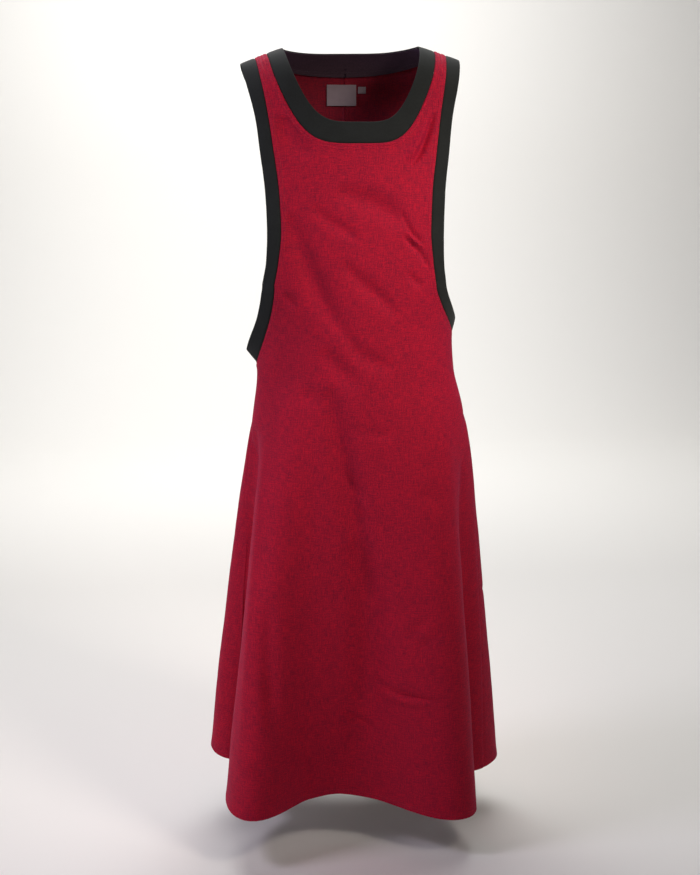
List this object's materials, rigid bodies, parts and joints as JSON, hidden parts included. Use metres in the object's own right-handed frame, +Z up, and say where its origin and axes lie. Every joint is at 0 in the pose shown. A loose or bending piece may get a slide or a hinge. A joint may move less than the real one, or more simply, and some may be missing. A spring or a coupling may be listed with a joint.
{
  "type": "sideless medieval surcoat",
  "caption": "Long sideless surcoat of heavy crimson cotton, flared skirt, black bands round a wide neck and deep armholes, filled out as worn and open inside.",
  "frame": {"origin": "midway between the two neck points, on the line of the shoulder seams, where the wearer carries the garment", "axes": "+Z up along the body, -Y out of the front, +X to the wearer's left"},
  "size_m": [0.557, 0.3882, 1.3583],
  "materials": {
    "crimson_cotton": "heavy plain-woven cotton, crimson with a darker violet weft",
    "black_cotton": "matt black cotton twill",
    "pale_woven_tape": "smooth pale woven label tape, left blank"
  },
  "bodies": {
    "root": {"front_panel": "crimson_cotton", "back_panel_left": "crimson_cotton", "back_panel_right": "crimson_cotton", "neck_band_front": "black_cotton", "neck_band_back": "black_cotton", "armhole_band_front_left": "black_cotton", "armhole_band_back_left": "black_cotton", "armhole_band_front_right": "black_cotton", "armhole_band_back_right": "black_cotton", "back_neck_facing": "black_cotton", "label": "pale_woven_tape", "size_tag": "pale_woven_tape"}
  },
  "joints": []
}
